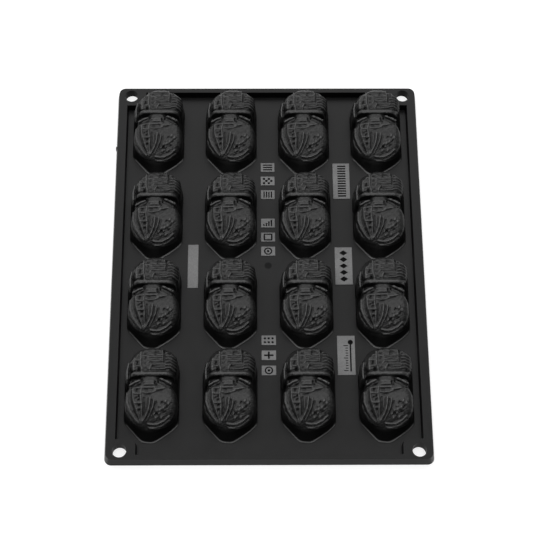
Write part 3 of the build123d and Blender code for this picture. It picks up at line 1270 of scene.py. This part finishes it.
@dataclass
class MouldBase:
    """The sheet, its raised rim and the four corner pads, one continuous moulding.

    Sizes are in millimetres. The overall size comes from the CAD box.

    Attributes:
        width: Overall width.
        length: Overall length.
        rim_height: Height of the rim and the pads.
        sheet: Thickness of the sheet.
        corner_radius: Radius of the four outer corners.
        corner_segments: Number of steps round an upright corner.
        side_rim: Width of the rim's top at the sides.
        end_rim: Width of the rim's top at the ends.
        outer_lean: How far the outer walls lean in at the top.
        inner_lean: How far the inner walls lean in at the sheet.
        pad_width: Width of a corner pad.
        pad_depth: Depth of a corner pad along the mould.
        pad_radius: Radius of a pad's inner corner.
        hole_radius: Radius of a hanging hole.
        hole_from_side: Centre of a hole from the side.
        hole_from_end: Centre of a hole from the end.
        hole_span: Heights between which a hole is cut.
        sprue_y: Centre of the round dimple along the mould.
        sprue_radii: Radius of the dimple at its floor and at its mouth.
        sprue_depth: Depth of the dimple.
        nub_y: Place of the moulding nub along the left wall.
        nub_inset: Centre of the nub inside the edge.
        nub_radii: Radius of the nub at its foot and at its top.
        nub_span: Heights between which the nub stands.
        clear: How far a cutter runs out above the rim.
        sliver: Distance that counts as none when places are compared.
        seat: Distance of a cup's opening inside its foot's outline.
        seat_rise: How far the openings' cutters stand out of the sheet, above and below.
        pad_seat: Distance of a pad's opening inside the back of its cup.
        pad_seat_taper: Change of that opening's radius at the foot and at the top.
        pad_seat_sink: How far its cutter reaches below the sheet's face.
        pad_seat_top: How far its cutter stands above the rim.
        rounding: Width of the softened edges.
        rounding_segments: Number of steps round a softened edge.
        rounding_limit: Least angle of an edge that is softened, in degrees.
        smooth_limit: Greatest angle that is shaded smooth, in degrees.
        upright: Greatest upward share of the normal of a hole's wall.
        facing_front: Least forward share of the normal of the front wall.
    """

    width: float
    length: float
    rim_height: float
    sheet: float = 2.5
    corner_radius: float = 6.5
    corner_segments: int = 10
    side_rim: float = 8.3
    end_rim: float = 4.8
    outer_lean: float = 1.6
    inner_lean: float = 1.1
    pad_width: float = 28.6
    pad_depth: float = 21.5
    pad_radius: float = 6.5
    hole_radius: float = 6.5
    hole_from_side: float = 14.0
    hole_from_end: float = 10.5
    hole_span: Span = (-2.0, 14.0)
    sprue_y: float = 2.0
    sprue_radii: Span = (2.7, 3.5)
    sprue_depth: float = 0.4
    nub_y: float = 131.0
    nub_inset: float = 1.1
    nub_radii: Span = (1.5, 1.3)
    nub_span: Span = (2.0, 7.0)
    clear: float = 3.0
    sliver: float = 0.1
    seat: float = 2.05
    seat_rise: float = 1.0
    pad_seat: float = 2.7
    pad_seat_taper: Span = (0.5, -0.3)
    pad_seat_sink: float = 1.9
    pad_seat_top: float = 1.5
    rounding: float = 0.7
    rounding_segments: int = 3
    rounding_limit: float = 34.0
    smooth_limit: float = 40.0
    upright: float = 0.5
    facing_front: float = 0.8

    def outer(self) -> bpy.types.Object:
        """Models the outer block with round corners and leaning walls.

        Returns:
            The block.
        """
        half_x, half_y = self.width / 2, self.length / 2
        base = block((-half_x, -half_y, 0.0), (half_x, half_y, self.rim_height))
        corners = mesh_points(base)
        pick(base, "EDGE", lambda edge: climbs(edge, corners))
        bpy.ops.mesh.bevel(offset=self.corner_radius * MM, segments=self.corner_segments, affect="EDGES")
        bpy.ops.object.mode_set(mode="OBJECT")
        pick(base, "VERT", lambda vertex: vertex.co.z > self.rim_height / 2 * MM)
        shrink = (1.0 - self.outer_lean / half_x, 1.0 - self.outer_lean / half_y, 1.0)
        bpy.ops.transform.resize(value=shrink, center_override=(0, 0, self.rim_height * MM))
        bpy.ops.object.mode_set(mode="OBJECT")
        return base

    def pocket(self) -> bpy.types.Object:
        """Models the plus-shaped hollow above the sheet, its walls leaning outwards.

        Returns:
            The hollow, to be cut out of the outer block.
        """
        wide = self.width / 2 - self.outer_lean - self.side_rim
        long = self.length / 2 - self.outer_lean - self.end_rim
        pad_x = self.width / 2 - self.pad_width
        pad_y = self.length / 2 - self.pad_depth
        top = self.rim_height + self.clear
        hollow = block((-wide, -pad_y, self.sheet), (wide, pad_y, top))
        combine(hollow, block((-pad_x, -long, self.sheet), (pad_x, long, top)), Joining.WELD)
        activate(hollow)
        bpy.ops.object.mode_set(mode="EDIT")
        bpy.ops.mesh.select_all(action="SELECT")
        bpy.ops.mesh.dissolve_limited(angle_limit=math.radians(1.0))
        bpy.ops.object.mode_set(mode="OBJECT")
        points = mesh_points(hollow)

        def at_pad_corner(edge: bpy.types.MeshEdge) -> bool:
            """Whether an edge stands upright at the inner corner of a pad."""
            x, y, _ = np.abs(points[edge.vertices[0]])
            return abs(x - pad_x) < self.sliver and abs(y - pad_y) < self.sliver and climbs(edge, points)

        pick(hollow, "EDGE", at_pad_corner)
        bpy.ops.mesh.bevel(offset=self.pad_radius * MM, segments=self.corner_segments, affect="EDGES")
        bpy.ops.object.mode_set(mode="OBJECT")
        rounded = mesh_points(hollow)
        overhang = self.inner_lean * self.clear / (self.rim_height - self.sheet)
        drawn_in = np.where(rounded[:, 2] < self.sheet + self.sliver, self.inner_lean, -overhang)
        rounded[:, 0] -= np.sign(rounded[:, 0]) * drawn_in
        rounded[:, 1] -= np.sign(rounded[:, 1]) * drawn_in
        set_mesh_points(hollow, rounded)
        return hollow

    def hole_centre(self) -> Span:
        """Centre of the hanging hole at the back right, across and along."""
        return self.width / 2 - self.hole_from_side, self.length / 2 - self.hole_from_end

    def holes(self) -> list[bpy.types.Object]:
        """Models the cutters of the round hanging holes.

        Returns:
            One upright drum for each corner.
        """
        x, y = self.hole_centre()
        radii = (self.hole_radius, self.hole_radius)
        return [drum((i * x, j * y), radii, self.hole_span, 64) for i in (-1, 1) for j in (-1, 1)]

    def seats(self, form: CupForm, waists: Sequence[Span]) -> bpy.types.Object:
        """Models the openings for all the cups, each hidden inside its cup's wall.

        Args:
            form: The form of the cups.
            waists: Waist point of each cup, in millimetres.

        Returns:
            One cutter that holds all the openings.
        """
        outline = form.outline(self.seat)
        tools = []
        for waist in waists:
            deselect()
            bpy.ops.mesh.primitive_circle_add(vertices=len(outline), fill_type="NGON", radius=MM)
            tool = bpy.context.object
            points = np.full((len(outline), 3), -self.seat_rise)
            points[:, :2] = outline + np.array(waist)
            set_mesh_points(tool, points)
            activate(tool)
            bpy.ops.object.mode_set(mode="EDIT")
            bpy.ops.mesh.select_all(action="SELECT")
            rise = (self.sheet + 2.0 * self.seat_rise) * MM
            bpy.ops.mesh.extrude_region_move(TRANSFORM_OT_translate={"value": (0, 0, rise)})
            bpy.ops.mesh.select_all(action="SELECT")
            bpy.ops.mesh.normals_make_consistent(inside=False)
            bpy.ops.object.mode_set(mode="OBJECT")
            tools.append(tool)
        return join(tools, "cup_seats")

    def pad_seats(self, form: CupForm, waists: Sequence[Span]) -> list[bpy.types.Object]:
        """Models the round openings where the back corner cups grow into the pads.

        Args:
            form: The form of the cups.
            waists: Waist point of each cup, in millimetres.

        Returns:
            One oval cutter for each back corner cup.
        """
        back_row = max(y for _, y in waists)
        radius = form.half_width - self.pad_seat
        radii = tuple(radius + change for change in self.pad_seat_taper)
        heights = (self.sheet - self.pad_seat_sink, self.rim_height + self.pad_seat_top)
        tools = []
        for x, y in waists:
            if y < back_row - self.clear or abs(x) < self.width / 4:
                continue
            tool = drum((0.0, 0.0), radii, heights, 96)
            points = mesh_points(tool)
            points[:, 1] *= (form.back_depth - self.pad_seat) / radius
            points[:, 0] += x
            points[:, 1] += y + form.back_start
            set_mesh_points(tool, points)
            tools.append(tool)
        return tools

    def sprue_mark(self) -> bpy.types.Object:
        """Models the cutter of the shallow round dimple in the middle.

        Returns:
            A low drum that just breaks the sheet's face.
        """
        heights = (self.sheet - self.sprue_depth, self.sheet + self.sliver / 2)
        return drum((0.0, self.sprue_y), self.sprue_radii, heights, 48)

    def nub(self) -> bpy.types.Object:
        """Models the small moulding nub of the outer left wall.

        Returns:
            An upright drum, half buried in the wall.
        """
        return drum((self.nub_inset - self.width / 2, self.nub_y), self.nub_radii, self.nub_span, 24)

    def build(self, form: CupForm, waists: Sequence[Span]) -> bpy.types.Object:
        """Models the base with its holes and the openings under the cups.

        The nub and the dimple come after the softened edges, because they
        are too small for them.

        Args:
            form: The form of the cups.
            waists: Waist point of each cup, in millimetres.

        Returns:
            The finished base.
        """
        base = self.outer()
        cut(base, [self.pocket()])
        cut(base, self.holes())
        cut(base, [self.seats(form, waists)])
        cut(base, self.pad_seats(form, waists))
        soften(base, self.rounding, self.rounding_segments, self.rounding_limit)
        combine(base, self.nub(), Joining.WELD)
        cut(base, [self.sprue_mark()])
        shade(base, self.smooth_limit)
        return settle(base, "sheet_and_rim")

    def on_shaded_hole_wall(self, face: bpy.types.MeshPolygon) -> bool:
        """Whether a face belongs to the wall of a hanging hole, where shade is painted."""
        x, y = self.hole_centre()
        away = math.hypot(abs(face.center.x) / MM - x, abs(face.center.y) / MM - y)
        return away < self.hole_radius + 2.0 * self.sliver and abs(face.normal.z) < self.upright

    def in_shaded_dimple(self, face: bpy.types.MeshPolygon) -> bool:
        """Whether a face lies in the shallow round dimple, where shade is painted."""
        x, y, z = face.center / MM
        near = math.hypot(x, y - self.sprue_y) < self.sprue_radii[1] + self.sliver
        return near and self.sheet - 2.0 * self.sprue_depth < z < self.sheet - self.sliver

    def on_shaded_front_wall(self, face: bpy.types.MeshPolygon) -> bool:
        """Whether a face belongs to the outer wall at the front, where shade is painted."""
        front = self.clear - self.length / 2
        return face.center.y / MM < front and face.normal.y < -self.facing_front


class Motif(Enum):
    """The plain figures cut into the raised plates and tiles."""

    BLANK = "blank"
    BARS = "bars"
    RING = "ring"
    FRAME = "frame"
    COLUMNS = "columns"
    CHECKER = "checker"
    DOTS = "dots"
    CROSS = "cross"
    STEPS = "steps"
    LADDER = "ladder"
    SCALE = "scale"
    LOZENGES = "lozenges"


@dataclass
class Figure:
    """Draws one plain figure round the centre of a plate.

    Each figure is a list of cutters and a list of islands that stay inside
    what was cut. Sizes and places are in millimetres from the centre.

    Attributes:
        x: Centre of the plate across.
        y: Centre of the plate along.
        floor: Height of the figure's floor.
        face: Height of the plate's face.
        overcut: How far a cutter stands above the face.
    """

    x: float
    y: float
    floor: float
    face: float
    overcut: float = 1.0

    def slab(self, low: Span, high: Span, island: bool = False) -> bpy.types.Object:
        """Adds a box between two plan corners.

        Args:
            low: Lower left corner.
            high: Upper right corner.
            island: Whether the box ends at the face.

        Returns:
            The box.
        """
        top = self.face if island else self.face + self.overcut
        near = (self.x + low[0], self.y + low[1], self.floor)
        return block(near, (self.x + high[0], self.y + high[1], top))

    def disc(self, centre: Span, radius: float, sides: int, island: bool = False) -> bpy.types.Object:
        """Adds an upright cylinder.

        Args:
            centre: Its plan position.
            radius: Its radius.
            sides: Number of sides.
            island: Whether the cylinder ends at the face.

        Returns:
            The cylinder.
        """
        top = self.face if island else self.face + self.overcut
        place = (self.x + centre[0], self.y + centre[1])
        return drum(place, (radius, radius), (self.floor, top), sides)

    def blank(self) -> Parts:
        """No figure at all."""
        return [], []

    def ring(self) -> Parts:
        """A round pit with a round island that has a hole."""
        pit, rim, hole = 3.9, 2.7, 1.2
        island = self.disc((0.0, 0.0), rim, 48, island=True)
        cut(island, [self.disc((0.0, 0.0), hole, 32)])
        return [self.disc((0.0, 0.0), pit, 48)], [island]

    def frame(self) -> Parts:
        """A square pit with a square island."""
        pit = self.slab((-4.2, -3.7), (4.2, 3.7))
        island = self.slab((-2.9, -2.5), (2.9, 2.5), island=True)
        return [pit], [island]

    def bars(self) -> Parts:
        """Three level bars."""
        reach, half, middles = 4.6, 0.65, (-2.6, 0.0, 2.6)
        return [self.slab((-reach, y - half), (reach, y + half)) for y in middles], []

    def columns(self) -> Parts:
        """Four upright bars."""
        reach, half, middles = 3.4, 0.6, (-3.6, -1.2, 1.2, 3.6)
        return [self.slab((x - half, -reach), (x + half, reach)) for x in middles], []

    def checker(self) -> Parts:
        """Small squares on every other field of a grid."""
        left, front, pitch, side = -4.7, -3.5, 2.4, 2.2
        fields = [(i, j) for i in range(4) for j in range(3) if (i + j) % 2 == 0]
        corners = [(left + pitch * i, front + pitch * j) for i, j in fields]
        return [self.slab((x, y), (x + side, y + side)) for x, y in corners], []

    def dots(self) -> Parts:
        """Six round dots in two rows."""
        columns, rows, radius = (-3.6, 0.0, 3.6), (-2.0, 2.0), 1.15
        return [self.disc((x, y), radius, 24) for x in columns for y in rows], []

    def cross(self) -> Parts:
        """Two crossed bars."""
        level, upright, half = 4.4, 3.6, 0.8
        bars = [self.slab((-level, -half), (level, half)), self.slab((-half, -upright), (half, upright))]
        return bars, []

    def steps(self) -> Parts:
        """Four bars, each taller than the one before."""
        left, foot, first_top, pitch, rise, wide = -4.6, -3.4, -1.4, 2.4, 1.6, 1.4
        places = [(left + pitch * step, first_top + rise * step) for step in range(4)]
        return [self.slab((x, foot), (x + wide, top)) for x, top in places], []

    def ladder(self) -> Parts:
        """Level bars, evenly spaced and a little off to the right."""
        left, right, half, pitch, count = -3.6, 4.4, 0.75, 2.8, 13
        middles = [(step - count // 2) * pitch for step in range(count)]
        return [self.slab((left, y - half), (right, y + half)) for y in middles], []

    def lozenges(self) -> Parts:
        """Lozenges in a row, broader than they are long."""
        half, flatness, pitch, count = 3.9, 0.72, 7.0, 5
        gems = []
        for step in range(count):
            gem = drum((0.0, 0.0), (half, half), (self.floor, self.face + self.overcut), 4)
            points = mesh_points(gem)
            points[:, 1] *= flatness
            points[:, 0] += self.x
            points[:, 1] += self.y + (step - count // 2) * pitch
            set_mesh_points(gem, points)
            gems.append(gem)
        return gems, []

    def scale(self) -> Parts:
        """A long bar with a round knob and a row of ticks beside it."""
        parts = [self.slab((3.4, -16.5), (4.8, 11.5)), self.disc((4.1, 13.4), 2.5, 32)]
        first, pitch, count, root, half = -15.6, 2.55, 11, 1.8, 0.45
        for step in range(count):
            reach = 4.2 if step % 5 == 0 else 2.4
            middle = first + pitch * step
            parts.append(self.slab((root - reach, middle - half), (root, middle + half)))
        return parts, []

    def draw(self, motif: Motif) -> Parts:
        """Makes the cutters and the islands of one figure.

        Args:
            motif: The figure to draw.

        Returns:
            Objects to cut out, and objects to add afterwards.
        """
        figures = {
            Motif.BLANK: self.blank,
            Motif.BARS: self.bars,
            Motif.RING: self.ring,
            Motif.FRAME: self.frame,
            Motif.COLUMNS: self.columns,
            Motif.CHECKER: self.checker,
            Motif.DOTS: self.dots,
            Motif.CROSS: self.cross,
            Motif.STEPS: self.steps,
            Motif.LADDER: self.ladder,
            Motif.SCALE: self.scale,
            Motif.LOZENGES: self.lozenges,
        }
        return figures[motif]()


@dataclass
class RaisedPlate:
    """A thin frosted plate or tile with a plain figure cut into it.

    Attributes:
        node: CAD node whose place the plate takes.
        motif: Figure to cut.
        edge: Width of the bevelled edges, in millimetres.
        sink: How far the plate reaches into the sheet.
        floor: Height of the figure's floor above the sheet.
        corner_limit: Least angle of an edge that is bevelled, in degrees.
        sliver: Depth below the face at which a floor begins.
    """

    node: str
    motif: Motif
    edge: float = 0.14
    sink: float = 0.4
    floor: float = 0.05
    corner_limit: float = 50.0
    sliver: float = 0.1

    def build(self) -> bpy.types.Object:
        """Models the plate in the place of its CAD node.

        Returns:
            The finished plate.
        """
        low, high = (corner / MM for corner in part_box(self.node))
        plate = block(low - Vector((0, 0, self.sink)), high)
        middle = (low + high) / 2
        gone, kept = Figure(middle.x, middle.y, low.z + self.floor, high.z).draw(self.motif)
        cut(plate, gone)
        if kept:
            plate = join([plate, *kept], self.node)
        soften(plate, self.edge, 1, self.corner_limit)
        return settle(plate, f"{self.node}_face")

    def darken_floor(self, plate: bpy.types.Object, ink_and_hole_shade: bpy.types.Material) -> None:
        """Gives the cut figure its black floor.

        Args:
            plate: The finished plate, already dressed.
            ink_and_hole_shade: Finish of the figure.
        """
        plate.data.materials.append(ink_and_hole_shade)
        heights = mesh_points(plate)[:, 2]
        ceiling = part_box(self.node)[1].z / MM - self.sliver
        for face in plate.data.polygons:
            deep = max(heights[index] for index in face.vertices) < ceiling
            face.material_index = 1 if deep and face.normal.z > 0.5 else 0


@dataclass(frozen=True)
class Softbox:
    """A rectangular studio lamp that faces straight down until it is tilted or turned.

    Attributes:
        name: Name of the lamp.
        centre: Position in metres.
        size: Width and length in metres.
        radiance: Brightness of its face, where 1 is that of a white surface in plain light.
        tilt: Turn about X, in degrees.
        turn: Turn about Y, in degrees.
    """

    name: str
    centre: tuple[float, float, float]
    size: tuple[float, float]
    radiance: float
    tilt: float = 0.0
    turn: float = 0.0

    def build(self) -> None:
        """Hangs the lamp."""
        lamp = bpy.data.lights.new(self.name, "AREA")
        lamp.shape = "RECTANGLE"
        lamp.size, lamp.size_y = self.size
        lamp.energy = self.radiance * math.pi * self.size[0] * self.size[1]
        holder = bpy.data.objects.new(self.name, lamp)
        holder.location = self.centre
        holder.rotation_euler = (math.radians(self.tilt), math.radians(self.turn), 0.0)
        bpy.context.scene.collection.objects.link(holder)


@dataclass
class Studio:
    """Pale floor, soft lamps and the camera at the photograph's angle.

    Attributes:
        floor_half: Half the side of the floor, in metres.
        floor_glow: Light that the floor adds to what the eye and reflections see.
        floor_tone: Grey of the floor.
        world_level: Grey of the light from all round.
        focal_pixels: Focal length in pixels of the photograph.
        frame_pixels: Side of the photograph in pixels.
        sensor: Width of the camera's sensor, in millimetres.
        elevation: Angle of the view above the floor, in degrees.
        distance: Distance from the camera to its target, in metres.
        target: Point that the camera looks at.
        roll: Turn of the camera about its view, in degrees.
        yaw: Turn of the camera about the upright, in degrees.
        lamps: The studio lamps.
    """

    floor_half: float = 8.0
    floor_glow: float = 0.67
    floor_tone: float = 0.52
    world_level: float = 0.01
    focal_pixels: float = 1698.6
    frame_pixels: float = 533.0
    sensor: float = 36.0
    elevation: float = 62.977
    distance: float = 1.63272
    target: tuple[float, float, float] = (-0.001544, 0.002321, 0.0)
    roll: float = 0.926
    yaw: float = -1.144
    lamps: tuple[Softbox, ...] = (
        Softbox("overhead_softbox", (0.0, -0.4, 3.0), (4.2, 2.0), 2.35),
        Softbox("rear_softbox", (0.0, 2.2, 2.3), (4.4, 2.6), 1.9, tilt=-45.0),
        Softbox("left_strip", (-2.7, 1.1, 1.5), (1.8, 2.6), 1.8, turn=-62.0),
        Softbox("right_strip", (2.9, 0.6, 1.5), (1.6, 2.4), 0.5, turn=62.0),
    )

    def floor(self) -> None:
        """Lays the floor, white to the eye and in reflections, with the shadow kept."""
        deselect()
        bpy.ops.mesh.primitive_grid_add(x_subdivisions=4, y_subdivisions=4, size=2 * self.floor_half)
        floor = settle(bpy.context.object, "studio_floor")
        material = bpy.data.materials.new("pale_floor")
        material.use_nodes = True
        tree = material.node_tree
        shader = tree.nodes["Principled BSDF"]
        tone = self.floor_tone
        shader.inputs["Base Color"].default_value = (tone, tone, tone, 1.0)
        shader.inputs["Roughness"].default_value = 0.9
        shader.inputs["Specular IOR Level"].default_value = 0.0
        shader.inputs["Emission Color"].default_value = (1.0, 1.0, 1.0, 1.0)
        path = tree.nodes.new("ShaderNodeLightPath")
        total = path.outputs["Is Camera Ray"]
        for kind in ("Is Glossy Ray", "Is Transmission Ray"):
            add = tree.nodes.new("ShaderNodeMath")
            add.operation = "MAXIMUM"
            tree.links.new(total, add.inputs[0])
            tree.links.new(path.outputs[kind], add.inputs[1])
            total = add.outputs[0]
        glow = tree.nodes.new("ShaderNodeMath")
        glow.operation = "MULTIPLY"
        glow.inputs[1].default_value = self.floor_glow
        tree.links.new(total, glow.inputs[0])
        tree.links.new(glow.outputs[0], shader.inputs["Emission Strength"])
        floor.data.materials.append(material)
        floor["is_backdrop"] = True

    def camera(self) -> None:
        """Places the camera by its target, distance, elevation, yaw and roll."""
        yaw, lift, roll = (math.radians(angle) for angle in (self.yaw, self.elevation, self.roll))
        back = Vector((math.sin(yaw) * math.cos(lift), -math.cos(yaw) * math.cos(lift), math.sin(lift)))
        right = Vector((math.cos(yaw), math.sin(yaw), 0.0))
        up = back.cross(right)
        across = math.cos(roll) * right + math.sin(roll) * up
        upward = math.cos(roll) * up - math.sin(roll) * right
        lens = bpy.data.cameras.new("photo_camera")
        lens.sensor_width = self.sensor
        lens.lens = self.focal_pixels / self.frame_pixels * lens.sensor_width
        holder = bpy.data.objects.new("photo_camera", lens)
        bpy.context.scene.collection.objects.link(holder)
        turn = Matrix((across, upward, back)).transposed().to_4x4()
        turn.translation = Vector(self.target) + self.distance * back
        holder.matrix_world = turn
        bpy.context.scene.camera = holder

    def build(self) -> None:
        """Sets up the floor, the lamps, the world and the camera."""
        self.floor()
        for lamp in self.lamps:
            lamp.build()
        world = bpy.data.worlds.new("studio")
        world.use_nodes = True
        level = self.world_level
        background = world.node_tree.nodes["Background"]
        background.inputs["Color"].default_value = (level, level, level, 1.0)
        bpy.context.scene.world = world
        self.camera()
        bpy.context.scene.view_settings.view_transform = "Standard"


@dataclass
class BakingMould:
    """The whole mould: its base, its sixteen cups and its plates and tiles.

    Attributes:
        rows: Number of rows of cups.
        columns: Number of cups in a row.
        nose_reach: Distance from a cup's waist to the tip of its nose, in millimetres.
        form: The form that all cups share.
    """

    rows: int = 4
    columns: int = 4
    nose_reach: float = 37.8
    form: CupForm = field(default_factory=CupForm)

    def cup_nodes(self) -> list[str]:
        """The CAD nodes of the cups, row by row from the back."""
        grid = [(row, column) for row in range(self.rows) for column in range(self.columns)]
        return [f"cup_row{row + 1}_col{column + 1}" for row, column in grid]

    def waist(self, node: str) -> Span:
        """The waist point of a cup's CAD node, in millimetres."""
        low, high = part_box(node)
        return (low.x + high.x) / 2 / MM, low.y / MM + self.nose_reach

    def add(self, piece: bpy.types.Object, finish: bpy.types.Material, slot: str, *nodes: str) -> None:
        """Dresses a finished piece and ties it to the frame.

        Args:
            piece: The finished object.
            finish: Its main finish.
            slot: Name of a material slot; not used.
            nodes: CAD nodes that it stands for.
        """
        piece.data.materials.clear()
        piece.data.materials.append(finish)
        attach(piece, "root")
        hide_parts(*nodes)
        LOG.info("%s: %d faces", piece.name, len(piece.data.polygons))

    def build_base(self, finish: bpy.types.Material, ink_and_hole_shade: bpy.types.Material) -> None:
        """Builds the sheet with its rim and pads.

        Args:
            finish: Finish of the whole moulding.
            ink_and_hole_shade: Near-black finish with almost no sheen, painted shade on the walls of the
                hanging holes.
        """
        low, high = CAD_BOX
        rim_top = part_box("rim_bar_left")[1].z / MM
        base = MouldBase((high.x - low.x) / MM, (high.y - low.y) / MM, rim_top)
        piece = base.build(self.form, [self.waist(node) for node in self.cup_nodes()])
        bars = [f"rim_bar_{side}" for side in ("left", "right", "front", "back")]
        pads = [f"corner_pad_{end}_{side}" for end in ("front", "back") for side in ("left", "right")]
        self.add(piece, finish, "silicone_satin", "web_sheet", *bars, *pads)
        # A copy of the satin finish with less sheen: painted shade in the dimple.
        dimple = SatinSilicone("sprue_mark_painted_shade", specular=0.11).build()
        # A copy of the satin finish with less sheen: painted shade on the front outer wall, which reflects
        # less of the floor.
        front = SatinSilicone("front_wall_painted_shade", specular=0.12).build()
        # Painted shade goes to the hole walls, the dimple and the front outer wall.
        regions = ((ink_and_hole_shade, base.on_shaded_hole_wall), (dimple, base.in_shaded_dimple), (front, base.on_shaded_front_wall))
        for number, (material, belongs) in enumerate(regions, start=1):
            piece.data.materials.append(material)
            for face in piece.data.polygons:
                if belongs(face):
                    face.material_index = number

    def build_cups(self, finish: bpy.types.Material) -> None:
        """Models one cup and places its copies over the grid.

        Args:
            finish: Finish of the cups.
        """
        master = self.form.build()
        for node in self.cup_nodes():
            cup = master.copy()
            cup.data = master.data.copy()
            bpy.context.scene.collection.objects.link(cup)
            x, y = self.waist(node)
            cup.location = (x * MM, y * MM, 0.0)
            settle(cup, f"{node}_shell")
            self.add(cup, finish, "silicone_satin", node)
        bpy.data.objects.remove(master, do_unlink=True)

    def build_plates(self, finish: bpy.types.Material, ink_and_hole_shade: bpy.types.Material) -> None:
        """Builds the plates of the outer lanes and the tiles of the middle lane.

        Args:
            finish: Finish of the plates and tiles.
            ink_and_hole_shade: Finish of the figures.
        """
        figures = {
            "plate_left": Motif.BLANK,
            "plate_back": Motif.LADDER,
            "plate_middle": Motif.LOZENGES,
            "plate_front": Motif.SCALE,
            "tile_back_1": Motif.BARS,
            "tile_back_2": Motif.CHECKER,
            "tile_back_3": Motif.COLUMNS,
            "tile_middle_1": Motif.STEPS,
            "tile_middle_2": Motif.FRAME,
            "tile_middle_3": Motif.RING,
            "tile_front_1": Motif.DOTS,
            "tile_front_2": Motif.CROSS,
            "tile_front_3": Motif.RING,
        }
        for node, motif in figures.items():
            plate = RaisedPlate(node, motif)
            piece = plate.build()
            self.add(piece, finish, "silicone_matt", node)
            plate.darken_floor(piece, ink_and_hole_shade)

    def build(self) -> None:
        """Builds and dresses every piece."""
        black = SatinSilicone().build()
        shell = ReliefSilicone().build()
        frosted = FrostedSilicone().build()
        # Near-black with almost no sheen: the figures' own dark floors, and painted shade on the walls of
        # the hanging holes.
        ink_and_hole_shade = SatinSilicone("figure_ink_and_hole_wall_shade", specular=0.03).build()
        self.build_base(black, ink_and_hole_shade)
        self.build_cups(shell)
        self.build_plates(frosted, ink_and_hole_shade)


def main() -> None:
    """Builds the mould and the studio."""
    logging.basicConfig(level=logging.INFO, format="%(message)s")
    BakingMould().build()
    Studio().build()


if __name__ == "__main__":
    main()
